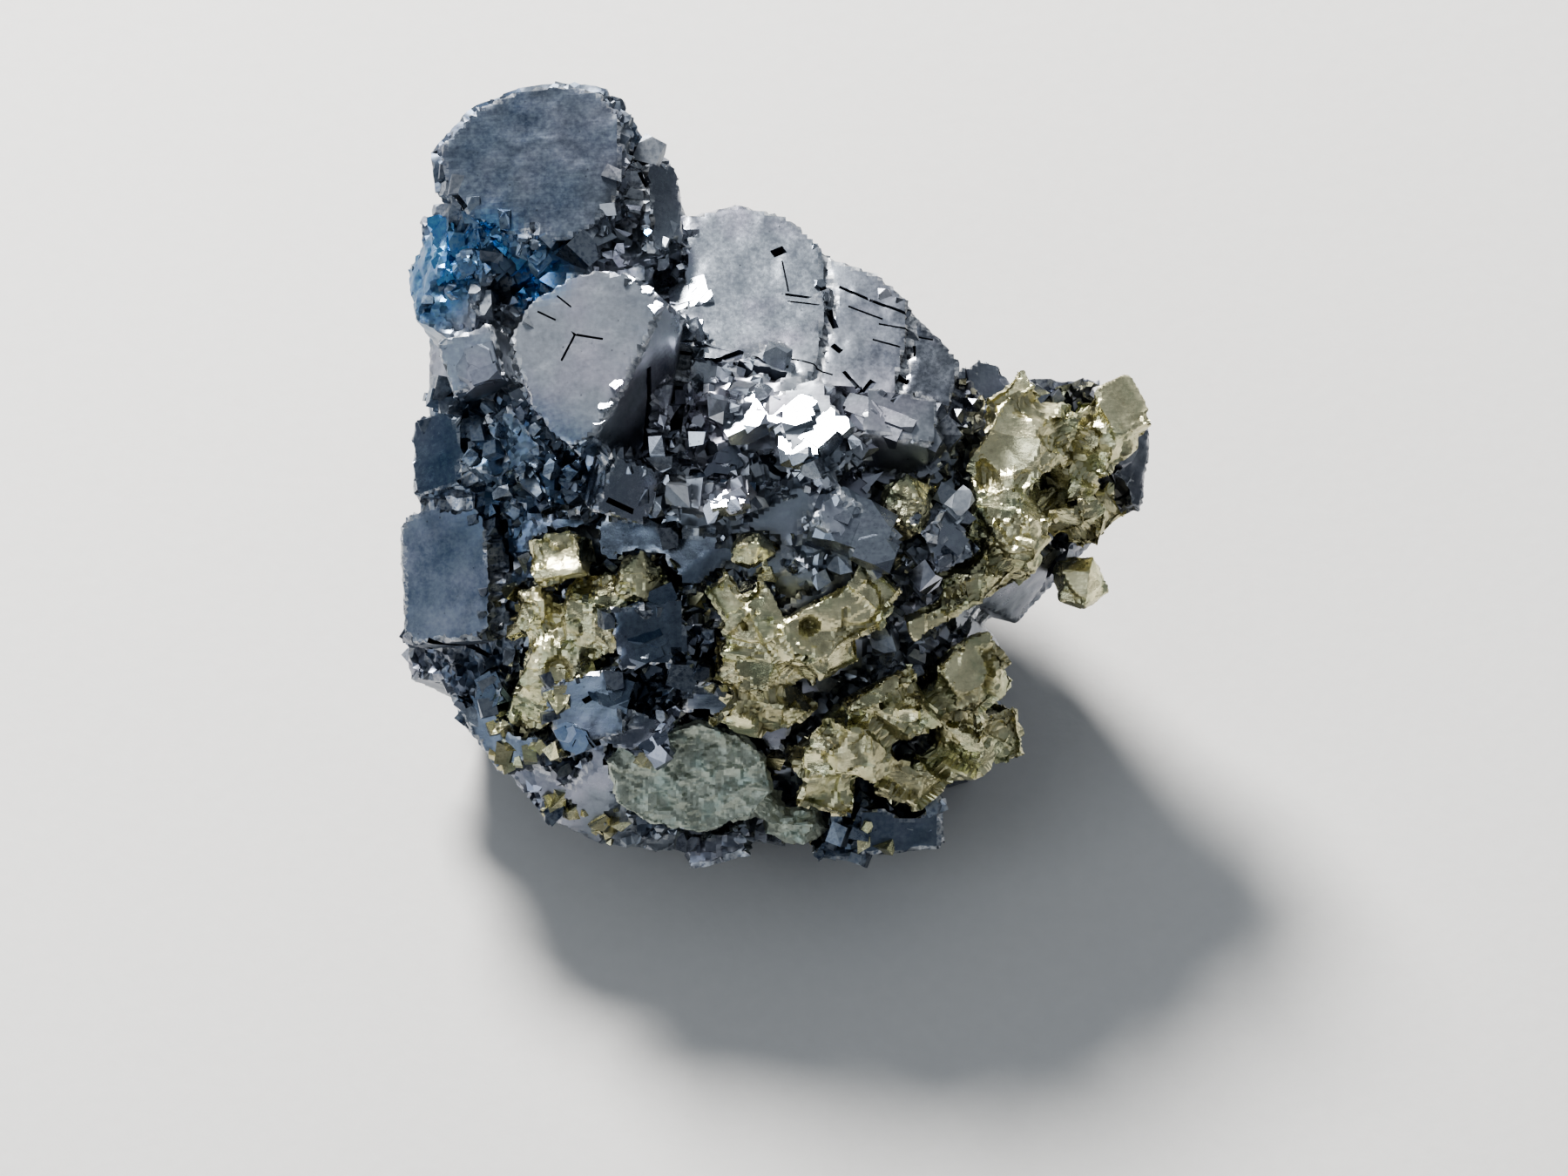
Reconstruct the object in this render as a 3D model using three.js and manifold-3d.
// A hand specimen of galena with pyrite, about 40 mm across, as a group of closed solids in millimetres.
// Galena is the host: one mass of blue-grey crystals, grown together, with a flat foot that it rests on.
// Pyrite fills pockets in it as brassy lumps and blocks, each patch a solid of its own in its own pocket.
// Places are given on the display face, the side that is looked at: right, up and out from its middle.
// That face leans back from upright by FACE_LEAN, and the last step turns it all to +Z up on the foot.
import * as THREE from "three";
import { ConvexGeometry } from "three/addons/geometries/ConvexGeometry.js";
import { mergeVertices } from "three/addons/utils/BufferGeometryUtils.js";
import Module from "manifold-3d";

const wasm = await Module();
wasm.setup();

// Driving dimensions, in mm and degrees
const FACE_LEAN = 58; // the display face looks up at this angle above the horizon
const FOOT_DROP = 14.2; // from the middle of the display face down to the foot
const SEAM = 0.3; // the gap between a pyrite patch and the galena around it
const STEP = 0.55; // the height of one cleavage step on the big cleaved face
const FISSURE_WIDTH = 0.9;
const FISSURE_DEPTH = 4.2;
const CLEFT_RISE = 4; // how far the cutter of a cleft stands out of the surface
const CLEFT_FOOT = 0.3; // a cleft's width at the bottom, as a share of its width at the top
const TERRACE_DEPTH = 5; // how far one plate of that face runs back into the mass
const LUMP_CORNERS = 12; // on a broken lump of pyrite
const BACK_CUT = 0.22; // how much of a corner is cut off the big blocks of the back
const PYRITE_CUT = 0.3; // and off a block of pyrite
const OUTSIDE = 70; // well clear of the specimen on any side
const GOLDEN_ANGLE = 2.39996; // in radians, for even scatter

const GALENA = new THREE.MeshStandardMaterial({ color: 0x6d7683, metalness: 0.9, roughness: 0.42 });
const PYRITE_BRIGHT = new THREE.MeshStandardMaterial({ color: 0xb59f62, metalness: 1.0, roughness: 0.32 });
const PYRITE_DULL = new THREE.MeshStandardMaterial({ color: 0x8d9478, metalness: 0.7, roughness: 0.6 });

// Seeded random numbers from 0 to 1, so that the specimen is the same each time.
function dice(seed) {
  let state = seed * 2654435761 + 12345;
  return () => {
    state = (state + 0x6d2b79f5) | 0;
    let t = Math.imul(state ^ (state >>> 15), 1 | state);
    t = (t + Math.imul(t ^ (t >>> 7), 61 | t)) ^ t;
    return ((t ^ (t >>> 14)) >>> 0) / 4294967296;
  };
}

function solidFromGeometry(geometry) {
  geometry.deleteAttribute("normal");
  geometry.deleteAttribute("uv");
  const merged = mergeVertices(geometry, 1e-4);
  return new wasm.Manifold(
    new wasm.Mesh({
      numProp: 3,
      vertProperties: merged.attributes.position.array,
      triVerts: new Uint32Array(merged.index.array),
    }),
  );
}

// The convex solid round a list of THREE.Vector3 points.
const hull = (points) => solidFromGeometry(new ConvexGeometry(points));

const joined = (solids) => solids.reduce((whole, solid) => whole.add(solid));

// A frame at a place on the display face, turned about the way out and then leaned up and to the right.
function placed(at, [turn, leanUp, leanRight] = [0, 0, 0]) {
  const lean = new THREE.Matrix4().makeRotationFromEuler(
    new THREE.Euler(
      THREE.MathUtils.degToRad(-leanUp),
      THREE.MathUtils.degToRad(leanRight),
      THREE.MathUtils.degToRad(turn),
      "YXZ",
    ),
  );
  return lean.setPosition(at[0], at[1], at[2]);
}

// An oblong crystal, half its size each way. Its outer corners are cut as octahedron faces cut a cube.
function crystal(at, half, facing, cut = 0.3, grown = 0) {
  const [x, y, z] = half.map((length) => length + grown);
  const c = Math.min(x, y, z) * cut;
  const points = [];
  for (const i of [-1, 1])
    for (const j of [-1, 1]) {
      points.push(new THREE.Vector3(i * x, j * y, -z));
      if (cut === 0) points.push(new THREE.Vector3(i * x, j * y, z));
      else
        points.push(
          new THREE.Vector3(i * (x - c), j * y, z),
          new THREE.Vector3(i * x, j * (y - c), z),
          new THREE.Vector3(i * x, j * y, z - c),
        );
    }
  const frame = placed(at, facing);
  return hull(points.map((point) => point.applyMatrix4(frame)));
}

// A broken lump with flat fracture faces: the hull of uneven points round an ellipsoid.
function lump(at, radii, seed, corners = LUMP_CORNERS, grown = 0) {
  const roll = dice(seed);
  const points = [];
  for (let i = 0; i < corners; i++) {
    const height = 1 - (2 * (i + 0.5)) / corners;
    const round = Math.sqrt(1 - height * height);
    const angle = i * GOLDEN_ANGLE + 0.7 * roll();
    const reach = 0.84 + 0.22 * roll();
    points.push(
      new THREE.Vector3(
        at[0] + (radii[0] + grown) * reach * round * Math.cos(angle),
        at[1] + (radii[1] + grown) * reach * round * Math.sin(angle),
        at[2] + (radii[2] + grown) * reach * height,
      ),
    );
  }
  return hull(points);
}

// A crystal whose flat face has the given outline. Its sides flare to a waist and run back into the mass,
// to a root that may lie off to one side.
function plate(at, facing, outline, waist, root, grown = 0) {
  const [waistScale, waistDepth] = waist;
  const [rootScale, rootDepth, aside = [0, 0]] = root;
  const frame = placed(at, facing);
  const ring = (scale, depth, [right, up] = [0, 0]) =>
    outline.map(([x, y]) => {
      const reach = Math.hypot(x, y);
      const wide = (scale * reach + grown) / reach;
      return new THREE.Vector3(x * wide + right, y * wide + up, -depth).applyMatrix4(frame);
    });
  return hull([...ring(1, -grown), ...ring(waistScale, waistDepth), ...ring(rootScale, rootDepth, aside)]);
}

// A wedge-shaped cut between two points of the display face, open towards the viewer.
function cleft(from, to, width, depth) {
  const start = new THREE.Vector3(...from);
  const end = new THREE.Vector3(...to);
  const side = new THREE.Vector3().subVectors(end, start).cross(new THREE.Vector3(0, 0, 1)).normalize();
  const points = [];
  for (const end3 of [start, end])
    for (const sign of [-1, 1])
      points.push(
        end3.clone().addScaledVector(side, sign * width).add(new THREE.Vector3(0, 0, CLEFT_RISE)),
        end3.clone().addScaledVector(side, sign * width * CLEFT_FOOT).add(new THREE.Vector3(0, 0, -depth)),
      );
  return hull(points);
}

function meshOf(solid) {
  const { vertProperties, triVerts } = solid.getMesh();
  const geometry = new THREE.BufferGeometry();
  geometry.setAttribute("position", new THREE.BufferAttribute(new Float32Array(vertProperties), 3));
  geometry.setIndex(new THREE.BufferAttribute(new Uint32Array(triVerts), 1));
  return new THREE.Mesh(geometry);
}

// A crystal set where a ray meets the mass, sunk until it stands proud of the surface by the given height.
function perched(mesh, from, toward, { half, facing, proud, cut }) {
  const way = new THREE.Vector3().subVectors(toward, from).normalize();
  const [hit] = new THREE.Raycaster(from, way).intersectObject(mesh);
  if (!hit) return [];
  const { normal } = hit.face;
  const axes = [new THREE.Vector3(), new THREE.Vector3(), new THREE.Vector3()];
  placed([0, 0, 0], facing).extractBasis(...axes);
  const reach = axes.reduce((sum, axis, i) => sum + Math.abs(axis.dot(normal)) * half[i], 0);
  const at = hit.point.addScaledVector(normal, proud - reach);
  return [crystal([at.x, at.y, at.z], half, facing, cut)];
}

// Small crystals of one grain scattered over a patch of the display face, all but parallel and mostly sunk.
function druse(mesh, { middle, reach, count, half, facing, seed, proud = 0.55, jitter = 8 }) {
  const roll = dice(seed);
  return Array.from({ length: count }, (_, i) => {
    const angle = i * GOLDEN_ANGLE;
    const out = Math.sqrt((i + 0.5) / count);
    const x = middle[0] + reach[0] * out * Math.cos(angle);
    const y = middle[1] + reach[1] * out * Math.sin(angle);
    const size = half * (0.65 + 0.7 * roll());
    return perched(mesh, new THREE.Vector3(x, y, OUTSIDE), new THREE.Vector3(x, y, 0), {
      half: [size, size * (0.7 + 0.5 * roll()), size * (0.7 + 0.4 * roll())],
      facing: facing.map((degrees) => degrees + jitter * (2 * roll() - 1)),
      proud: proud * (0.4 + 1.1 * roll()),
      cut: 0,
    });
  }).flat();
}

// One grain of the hidden sides: big blocks, and smaller parallel ones stepped on them round a way out.
function backGrain(mesh, { facing, way, spread, count, half, seed, proud = 1.2 }) {
  const roll = dice(seed);
  const middle = new THREE.Vector3(...way).normalize();
  const right = new THREE.Vector3(0, 0, 1).cross(middle).normalize();
  const up = middle.clone().cross(right);
  return Array.from({ length: count }, (_, i) => {
    const angle = i * GOLDEN_ANGLE;
    const out = spread * Math.sqrt((i + 0.5) / count);
    const toward = middle
      .clone()
      .addScaledVector(right, out * Math.cos(angle))
      .addScaledVector(up, out * Math.sin(angle));
    const size = half * (0.6 + 0.75 * roll());
    return perched(mesh, toward.multiplyScalar(OUTSIDE), new THREE.Vector3(0, 0, -2), {
      half: [size * (0.9 + 0.6 * roll()), size, size * 0.8],
      facing: facing.map((degrees) => degrees + 2 * (2 * roll() - 1)),
      proud: proud * (0.35 + 1.1 * roll()),
      cut: 0,
    });
  }).flat();
}

// The galena mass, as a few overlapping blocks that give the outline seen from the display side.
const point = (right, up, out) => new THREE.Vector3(right, up, out);

function galenaMass() {
  const lower = hull([
    point(-19.6, -3.6, 0.5), point(-19.2, -9.2, -0.5), point(-16.8, -14, 0), point(-12.4, -18.6, 0),
    point(-9.4, -20.2, -0.4), point(-6.5, -20.5, -0.5), point(2.5, -19.9, 0), point(7.6, -18.6, 0),
    point(11, -14.4, -1), point(12.4, -9, -2), point(-19.2, 1.5, 0), point(-15, -9, 5.6),
    point(-8, -14.5, 5.2), point(-6, -6, 9.6), point(4, -5, 10.6), point(9.5, -6.5, 8.6), point(6, -15.5, 4.4),
    point(-13.5, -2, 7), point(2, 0, 11), point(-13, -6, -9), point(-9, -14, -8), point(5, -13, -9),
    point(7, -3, -12), point(-6, 0, -13),
  ]);
  const upper = hull([
    point(-18.8, 3.4, 1), point(-18.8, 11, 0), point(-17.2, 15.2, -2), point(-13.5, 17.4, -4),
    point(-7.6, 16.6, -3), point(-6, 8, 9.2), point(-14, 4, 8), point(-16.2, 9, 5), point(-6, -2, 10.4),
    point(-16, -2, 5.5), point(-13, 13, -8), point(-8, 6, -12), point(-15, 0, -8), point(0, 2, -12),
  ]);
  const shoulder = hull([
    point(-5.4, 13, 2.2), point(1.2, 13, 1.6), point(5.6, 10.4, 1.8), point(9, 6.8, 2.6),
    point(11.6, 3.4, 4.6), point(9.5, 2, 8.6), point(-5.5, 5, 9.2), point(2, 4.6, 9.4), point(3, -3, 10.8),
    point(10.5, -4, 8.8), point(-6, -3, 9.8), point(0, 9.4, -7), point(8, 3.6, -8), point(-6, 8, -9),
    point(10, -6, -8),
  ]);
  const arm = hull([
    point(11, 3.8, 5), point(16.6, 3.9, 4), point(19, 3, 2.6), point(19.2, -0.6, 1.2),
    point(17.6, -3.4, 1), point(13.2, -8, 1), point(10.6, -6.8, 8), point(11, 0, 8), point(17.2, 0.5, 6),
    point(16.6, -3, 4.6), point(15, 1, -4), point(12, -5, -6), point(9, 3, -7), point(9, -7, -5),
  ]);
  return joined([lower, upper, shoulder, arm]);
}

// The big rounded crystal at the top left, with its flat face to the viewer.
function knobCrystal() {
  const outline = [
    [-5.1, 0.9], [-3.3, 3.1], [-1, 4.1], [1.3, 4.4], [3.4, 4.1], [4.6, 2.6], [4.9, 0.2], [4.6, -2],
    [3.6, -3.5], [2, -4.4], [0, -4.5], [-1.9, -3.5], [-3.4, -3], [-4.8, -1.2],
  ];
  const face = plate([-12.8, 16.6, 8.2], [0, 14, -6], outline, [1.13, 1.1], [1.02, 7]);
  const collar = plate([-11.2, 15.3, 6.9], [20, 10, 6], outline, [1.12, 1.6], [0.9, 9]);
  const flank = lump([-16.4, 10.4, 3.2], [3.5, 5.6, 5.4], 11, 18);
  return [face, collar, flank];
}

// The tabular crystal in front of it, leaning out, with its right side in shadow.
function tabletCrystal() {
  const outline = [
    [-1.1, 4.5], [0.7, 4.9], [2.2, 4.5], [4.2, 2.9], [2.4, -1.4], [0.7, -4.3], [-0.4, -4.9], [-1.6, -4.3],
    [-2.9, -2.8], [-4.1, 0.2], [-4.2, 1.6], [-3.4, 3],
  ];
  return plate([-9.9, 6.1, 13.2], [0, 10, -16], outline, [1.02, 0.5], [0.96, 8, [1.6, -1.2]]);
}

// The cleaved face right of them: terraces of thin parallel plates, each some steps below the first.
function cleavedFace() {
  const middle = point(1.4, 8.4, 7.4);
  const normal = point(0, 0, 0);
  placed([0, 0, 0], [0, 36, 6]).extractBasis(point(0, 0, 0), point(0, 0, 0), normal);
  const onFace = (right, up, below) => {
    const out = middle.z - (normal.x * (right - middle.x) + normal.y * (up - middle.y)) / normal.z;
    return point(right, up, out).addScaledVector(normal, -below);
  };
  const terrace = (steps, corners) => {
    const top = steps * STEP;
    return hull(corners.flatMap(([x, y]) => [onFace(x, y, top), onFace(x, y, top + TERRACE_DEPTH)]));
  };
  const widest = [
    [-5.4, 14], [-1.8, 14.8], [0.8, 14.1], [2.6, 12.6], [3.2, 9.6], [2.2, 5], [-0.4, 5.3], [-5.2, 6.3],
  ];
  return [
    terrace(0, widest),
    terrace(0.8, [[2.4, 12.4], [5.9, 11.1], [7.5, 9.7], [7.2, 6.8], [6.6, 4.4], [2.2, 5]]),
    terrace(1.8, [[6, 10.8], [8.8, 8.3], [10.3, 6.7], [9.6, 3.9], [6.5, 4.3]]),
    terrace(2.8, [[9, 8], [11.8, 4.9], [11.2, 3.2], [9, 3.8]]),
    terrace(1.4, [[-5.2, 6.6], [2.2, 5.4], [1.8, 3.4], [-5, 4.6]]),
    terrace(2, [[1.8, 5.4], [9, 4.2], [8, 2], [1.6, 3.6]]),
  ];
}

// Single galena crystals that stand out: place, half size, [turn, lean up, lean right] and corner cut.
const SINGLE_CRYSTALS = [
  [[-15.7, 5.9, 8.4], [1.7, 1.6, 1.6], [20, 8, -14], 0],
  [[-16.8, 4.2, 6.4], [1.1, 1, 1.3], [40, 10, -30], 0],
  [[-16.4, -5.6, 2.8], [2.7, 3.6, 3], [4, 4, -24], 0.3],
  [[-16.8, 0.6, 3.6], [1.7, 2.4, 2.4], [12, 16, -34], 0.35],
  [[-14.6, 0.4, 6.6], [1.7, 1.3, 1.6], [-24, 30, -22], 0],
  [[-13.2, 2.4, 8.4], [1.3, 1.6, 1.6], [30, -20, -30], 0],
  [[-11.9, -0.4, 8.9], [0.9, 1.5, 1.4], [28, 6, 8], 0],
  [[-8.2, -0.4, 10.2], [1.7, 1.7, 1.9], [-16, -18, 22], 0],
  [[-5.6, 2.8, 9.6], [1.3, 1.7, 2], [10, 14, 26], 0],
  [[-1.5, 3.2, 11.1], [1.1, 1.1, 1], [14, 30, -4], 0],
  [[1.7, 2.7, 11.2], [1.8, 1.9, 1.1], [24, 26, 0], 0],
  [[3.3, 0.5, 11.9], [1.6, 0.85, 1], [32, 28, 4], 0],
  [[6.4, 2.3, 10.4], [2.1, 1.6, 1.5], [-12, 34, 14], 0],
  [[-3.1, -1.3, 11.6], [1.9, 0.9, 1.1], [-8, 26, -2], 0],
  [[4.1, -3, 12], [2.2, 1.3, 1.3], [-38, 12, 10], 0.25],
  [[8.6, -3.6, 10.4], [1.4, 1.7, 1.4], [20, 10, 24], 0],
  [[-6.4, -8.3, 9], [2.1, 1.8, 1.8], [8, -6, -4], 0],
  [[-3.6, -9.6, 8.8], [1.9, 1.5, 1.7], [-14, 8, 12], 0],
  [[-9.6, -12.2, 6.9], [2.1, 1.9, 1.9], [16, -10, -16], 0],
  [[-7.2, -13.2, 6.6], [1.7, 1.4, 1.8], [-26, -24, 2], 0],
  [[6.6, -18.2, 2.2], [2.4, 1.5, 2.2], [6, -22, 6], 0.3],
  [[3.6, -19, 2], [1.6, 1.2, 1.8], [-10, -26, 0], 0],
  [[-3, -19.3, 2.4], [1.9, 1, 1.9], [14, -24, -6], 0],
  [[-13.8, -13.4, 3.2], [1.8, 2.2, 1.8], [34, -8, -26], 0.35],
  [[18, 0.4, 2.6], [1.3, 2.5, 2], [-14, 8, 38], 0.35],
  [[15.6, 3.6, 5], [2.3, 0.9, 1.6], [-4, 34, 10], 0.3],
  [[-16.8, 11.6, 1.2], [1.3, 2.6, 2.4], [4, 6, -50], 0.35],
  [[-7.2, 13.6, 5.6], [1.2, 2.6, 2.4], [-6, 16, 40], 0.35],
];

// Patches of small crystals, each patch one grain broken along its own three cleavage directions.
const DRUSES = [
  { middle: [-2.6, 1.2], reach: [3.4, 2.6], count: 5, half: 1.3, facing: [18, 28, -4], seed: 3 },
  { middle: [5.8, 0.9], reach: [4, 2.8], count: 4, half: 1.2, facing: [-24, 30, 10], seed: 4 },
  { middle: [1.4, -3.4], reach: [6.2, 1.6], count: 4, half: 1.15, facing: [-8, 14, 4], seed: 5 },
  { middle: [-14.4, 10.7], reach: [3, 2.1], count: 4, half: 1.3, facing: [52, -26, -30], seed: 6, proud: 0.9 },
  { middle: [-15.4, 1.4], reach: [3, 3.2], count: 4, half: 1.25, facing: [36, 4, -34], seed: 7, proud: 0.7 },
  { middle: [-10.2, -2.2], reach: [3.2, 1.6], count: 4, half: 1.21, facing: [12, -26, 10], seed: 8 },
  { middle: [-6.4, -11], reach: [4.2, 2.6], count: 3, half: 1.35, facing: [10, -14, -6], seed: 9, proud: 0.8 },
  { middle: [-12.6, -15.6], reach: [3.2, 2.4], count: 3, half: 1.21, facing: [40, -20, -26], seed: 10 },
  { middle: [-3.6, -19], reach: [5.6, 0.8], count: 3, half: 1.09, facing: [8, -26, 0], seed: 12 },
  { middle: [-17.4, -11.4], reach: [1.2, 3.2], count: 2, half: 1.09, facing: [20, -6, -40], seed: 13 },
  { middle: [-5.6, 13], reach: [0.8, 3], count: 3, half: 1.09, facing: [24, 10, 36], seed: 14, proud: 0.8 },
  { middle: [18.4, 0], reach: [1, 3.4], count: 2, half: 0.97, facing: [10, 6, 44], seed: 15 },
  { middle: [7.2, -7.4], reach: [2, 1.4], count: 2, half: 0.97, facing: [30, -10, 16], seed: 16 },
];

// Grains of the back, sides and underside: big blocks [place, half size], and where smaller ones step.
const BACK_GRAINS = [
  {
    facing: [12, 24, 10],
    blocks: [[[-10.6, 9.6, -2], [5.6, 5.6, 6]], [[-12.4, 1.6, -4], [4.6, 5, 5.4]]],
    way: [-0.55, 0.6, -0.5], spread: 0.5, count: 4, half: 2, seed: 81,
  },
  {
    facing: [-10, 40, -8],
    blocks: [[[0.2, 5, -3.4], [5.4, 4.2, 5.6]], [[-3.4, 2.6, -8], [6, 5.6, 5]]],
    way: [0.25, 0.75, -0.5], spread: 0.5, count: 4, half: 2.3, seed: 82,
  },
  {
    facing: [26, 30, 24],
    blocks: [[[9.2, -0.3, -1.8], [4.4, 4, 4.8]], [[6, -4.2, -6.4], [5, 5, 5]]],
    way: [0.85, 0.1, -0.45], spread: 0.45, count: 4, half: 1.9, seed: 83,
  },
  {
    facing: [-6, 14, -28],
    blocks: [[[-13, -7.4, -3], [4.8, 5.2, 4.6]]],
    way: [-1, -0.15, -0.3], spread: 0.5, count: 4, half: 1.9, seed: 84,
  },
  {
    facing: [16, 34, 4],
    blocks: [[[4.6, -12.4, -5], [5.6, 4.8, 5.4]]],
    way: [0.75, -0.6, -0.2], spread: 0.35, count: 3, half: 1.7, seed: 85,
  },
  {
    facing: [-20, 28, -14],
    blocks: [[[-6, -12.6, -6], [6, 5, 5]]],
    way: [-0.5, -0.85, -0.2], spread: 0.35, count: 3, half: 1.7, seed: 86,
  },
];

// Open seams and pits in the galena: [from, to, half width, depth].
const CLEFTS = [
  [[2.8, 10, 7.4], [3.1, 7.4, 8.8], 0.22, 1.6],
  [[-4.8, 6.2, 9.6], [0.6, 5.1, 10.4], 0.2, 1.2],
  [[3.2, -0.9, 12.4], [8, -5.2, 11], 0.2, 1.6],
  [[-4.4, 8, 9.4], [-5.4, 1.6, 9.8], 0.5, 3.4],
  [[-5.3, 12.4, 6.4], [-5, 9, 7.6], 0.45, 3],
];

// The long dark fissure, from below left to above right, that opens under the upper pyrite.
const FISSURE = [
  [[0.6, -14.6, 8.4], [3.8, -11.4, 9.8]],
  [[3.4, -11.8, 9.8], [8.6, -8.9, 9.4]],
  [[8.2, -9.1, 9.4], [13.6, -7.3, 7]],
  [[13.2, -7.6, 7], [15, -6.9, 6]],
];

// Pyrite patches. Lumps are [place, radii, seed], blocks [place, half size, [turn, lean up, lean right]].
const PYRITE = {
  pyrite_ridge: {
    lumps: [
      [[13.2, 1.5, 8.2], [3.5, 2.9, 2.5], 21],
      [[17.4, 2.2, 6.2], [2.6, 2.8, 2.3], 22],
      [[12.3, -2.6, 8.6], [3.2, 3.6, 2.6], 23],
      [[15.4, -1.4, 6.6], [2.8, 2.9, 2.4], 24],
      [[10.4, -5.6, 9], [2.4, 2.4, 2.1], 25],
      [[12.8, -4.7, 8], [2, 2, 2], 26],
      [[17, -2, 4.9], [2.3, 2.5, 2.2], 27],
      [[15.4, 2.6, 7], [2.2, 1.9, 2.1], 28],
    ],
    blocks: [
      [[18.3, 3.3, 6.6], [1.3, 1.5, 1.3], [24, 20, 16]],
      [[12.6, 3.9, 8.3], [1.5, 0.8, 1.2], [40, 26, -10]],
      [[8.7, -7.3, 9.4], [1.9, 0.6, 1.2], [28, -14, 8]],
    ],
  },
  pyrite_lower_right: {
    lumps: [
      [[3.8, -14.4, 6.2], [3.8, 3.5, 2.7], 31],
      [[6.8, -12.6, 7.2], [2.7, 2.5, 2.4], 32],
      [[10.2, -11.2, 5.8], [3.2, 2.7, 2.6], 33],
      [[10.2, -14.2, 3.2], [3, 3, 3.2], 34],
      [[7.2, -16.2, 4.2], [3, 2.3, 2.4], 36],
    ],
    blocks: [
      [[10.2, -10.2, 6.4], [1.9, 1.3, 1.6], [36, 4, 16]],
      [[5.6, -11.2, 8.2], [2.2, 0.7, 1.4], [24, -8, 4]],
      [[2.9, -17, 5], [1.5, 1, 1.4], [-20, -18, 0]],
      [[12, -13.8, 1.8], [1.1, 1.6, 1.6], [16, -10, 30]],
    ],
  },
  pyrite_middle: {
    lumps: [
      [[-1, -10, 9.4], [3, 2.6, 2.4], 41],
      [[-0.4, -12.6, 8.2], [3.6, 2, 2.4], 42],
      [[-1.6, -7.6, 10.3], [2.2, 2, 1.9], 43],
      [[2.2, -9.2, 10.2], [3.4, 2.4, 2.2], 44],
    ],
    blocks: [
      [[3, -7.9, 10.6], [2.6, 1.5, 1.5], [28, -6, 8]],
      [[5.2, -6.1, 10.9], [1.5, 1.1, 1.3], [-42, 8, 14]],
      [[-2.3, -6.8, 11], [1, 1.5, 1.2], [34, 6, -10]],
      [[-0.6, -7.4, 11], [0.8, 1.6, 1.1], [26, 10, 6]],
    ],
  },
  pyrite_left: {
    lumps: [
      [[-9.2, -7.4, 8.1], [3, 3.1, 2.2], 51],
      [[-11.4, -10, 6.6], [3, 2.9, 2.3], 52],
      [[-7.1, -5.6, 9.4], [1.9, 1.8, 1.6], 53],
      [[-12.8, -12.2, 5], [2, 1.7, 2], 54],
      [[-12.6, -7.2, 6.8], [1.7, 2.1, 1.5], 55],
    ],
    blocks: [[[-10, -11.6, 6.8], [1.5, 1, 1.2], [30, -14, -10]]],
  },
  pyrite_dull_face: { dull: true, lumps: [], blocks: [] },
  pyrite_left_knob: { lumps: [], blocks: [[[-11.2, -4.6, 8.3], [1.5, 1.3, 1.4], [12, 16, -20]]] },
  pyrite_round_grain: { lumps: [[[-1.2, -4, 11.4], [1.4, 1.2, 1.5], 61]], blocks: [] },
  pyrite_upper_grain: { lumps: [[[7.1, -1.6, 10.7], [2, 2.2, 1.6], 62]], blocks: [] },
  pyrite_right_knob: { lumps: [[[16.4, -5.6, 3.7], [2, 1.8, 2.1], 63]], blocks: [] },
  pyrite_back: {
    lumps: [
      [[2, -2, -12.6], [3.8, 3, 2.4], 71],
      [[5.6, 0.4, -11.4], [2.8, 2.6, 2.4], 72],
    ],
    blocks: [[[-1, -3.4, -12.8], [1.6, 1.4, 1.4], [30, -20, 170]]],
  },
  pyrite_back_upper: {
    lumps: [
      [[-8.4, 11.6, -9], [2.9, 2.4, 2.2], 73],
      [[-10.6, 9.6, -8.6], [2, 2.4, 2], 74],
    ],
    blocks: [],
  },
};

// The dull, flat grain at the bottom middle of the display face.
function dullFace(grown) {
  const outline = [
    [-4.3, 0.9], [-3.4, 2], [-1.4, 2.6], [0.6, 3.1], [2.8, 2.4], [4.2, 1.1], [4.4, -0.8], [3.2, -2.2],
    [0.5, -3], [-1.9, -2.6], [-3.8, -1.4],
  ];
  const face = plate([-4.6, -16.3, 5.6], [0, -14, -4], outline, [1.06, 0.5], [0.7, 4], grown);
  const beside = lump([1.2, -18.8, 3], [2.4, 1.4, 1.9], 37, LUMP_CORNERS, grown);
  const bridge = lump([-0.6, -17.6, 3.6], [1.7, 1.3, 1.4], 38, LUMP_CORNERS, grown);
  return [face, beside, bridge];
}

function pyritePatch(name, grown = 0) {
  const { lumps, blocks } = PYRITE[name];
  const solids = [
    ...lumps.map(([at, radii, seed]) => lump(at, radii, seed, LUMP_CORNERS, grown)),
    ...blocks.map(([at, half, facing]) => crystal(at, half, facing, PYRITE_CUT, grown)),
  ];
  return joined(name === "pyrite_dull_face" ? dullFace(grown) : solids);
}

const largest = (solid) =>
  solid.decompose().reduce((best, body) => (body.volume() > best.volume() ? body : best));

const fissure = () => joined(FISSURE.map(([from, to]) => cleft(from, to, FISSURE_WIDTH / 2, FISSURE_DEPTH)));

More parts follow.
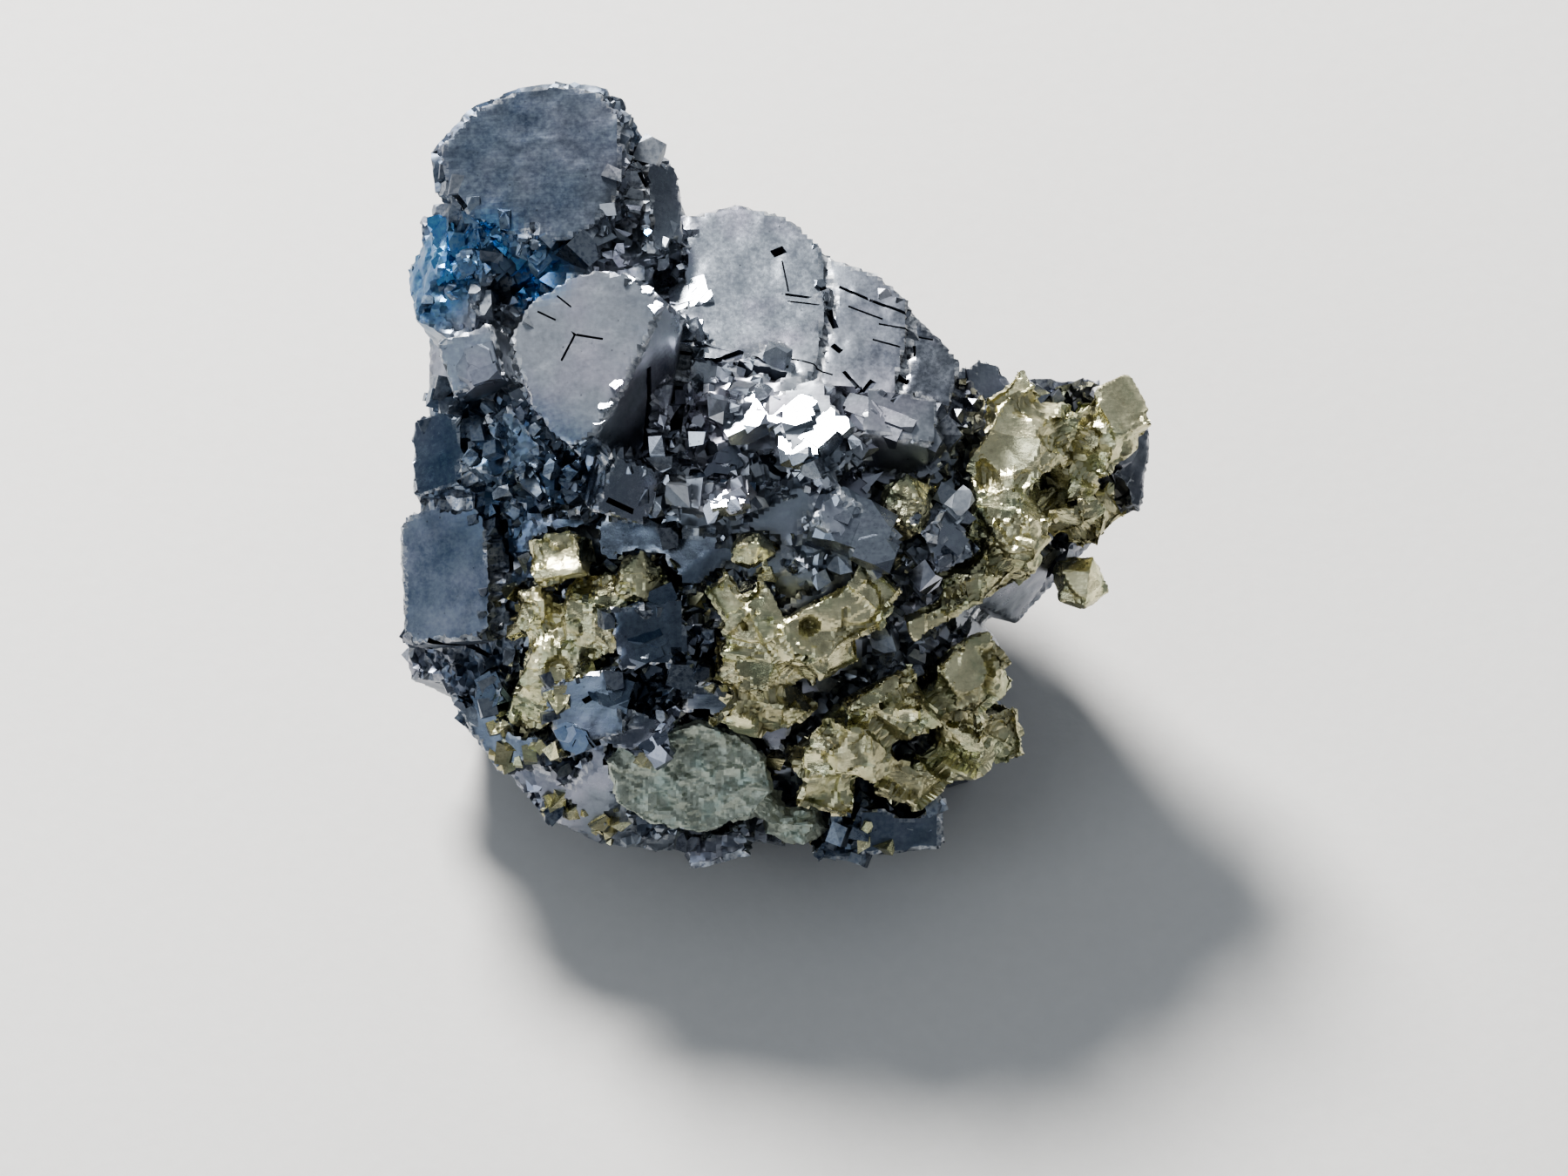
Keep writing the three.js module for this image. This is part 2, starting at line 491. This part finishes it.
function galenaBody() {
  const bigBlocks = BACK_GRAINS.flatMap(({ blocks, facing }) =>
    blocks.map(([at, half]) => crystal(at, half, facing, BACK_CUT)),
  );
  const mass = joined([galenaMass(), ...bigBlocks, ...knobCrystal(), tabletCrystal(), ...cleavedFace()]);
  const mesh = meshOf(mass);
  const small = [
    ...SINGLE_CRYSTALS.map((row) => crystal(...row)),
    ...DRUSES.flatMap((patch) => druse(mesh, patch)),
    ...BACK_GRAINS.flatMap((grain) => backGrain(mesh, grain)),
  ];
  return joined([mass, ...small]);
}

// Turns a solid from the display face's own directions to +Z up, and cuts the foot flat.
function onFoot(solid) {
  const up = new THREE.Matrix4().makeRotationX(THREE.MathUtils.degToRad(90 - FACE_LEAN));
  const turned = solid.transform(up.elements);
  const below = solidFromGeometry(new THREE.BoxGeometry(90, 90, 60).translate(0, 0, -30 - FOOT_DROP));
  return turned.subtract(below);
}

// Galena gives way to each patch, and a later patch gives way to an earlier one, with the seam between.
function specimen() {
  const cut = fissure();
  const clefts = joined(CLEFTS.map((row) => cleft(...row)));
  const patches = [];
  for (const name of Object.keys(PYRITE)) {
    let patch = pyritePatch(name).subtract(cut);
    for (const earlier of patches) patch = patch.subtract(pyritePatch(earlier.name, SEAM));
    patches.push({ name, solid: largest(patch), dull: PYRITE[name].dull });
  }
  const pockets = joined(patches.map(({ name }) => pyritePatch(name, SEAM)));
  const galena = largest(galenaBody().subtract(cut).subtract(clefts).subtract(pockets));
  return [{ name: "galena", solid: galena }, ...patches].map(({ name, solid, dull }) => {
    const material = name === "galena" ? GALENA : dull ? PYRITE_DULL : PYRITE_BRIGHT;
    return { name, solid: largest(onFoot(solid)), material };
  });
}

// The origin is the middle of the bounding box's underside, on the foot.
const pieces = specimen();
const bounds = new THREE.Box3();
for (const { solid } of pieces) {
  const { min, max } = solid.boundingBox();
  bounds.union(new THREE.Box3(new THREE.Vector3(...min), new THREE.Vector3(...max)));
}
const middle = bounds.getCenter(new THREE.Vector3());

const group = new THREE.Group();
for (const { name, solid, material } of pieces) {
  const mesh = meshOf(solid.translate(-middle.x, -middle.y, -bounds.min.z));
  mesh.geometry.computeVertexNormals();
  mesh.material = material;
  mesh.name = name;
  group.add(mesh);
}

export default group;
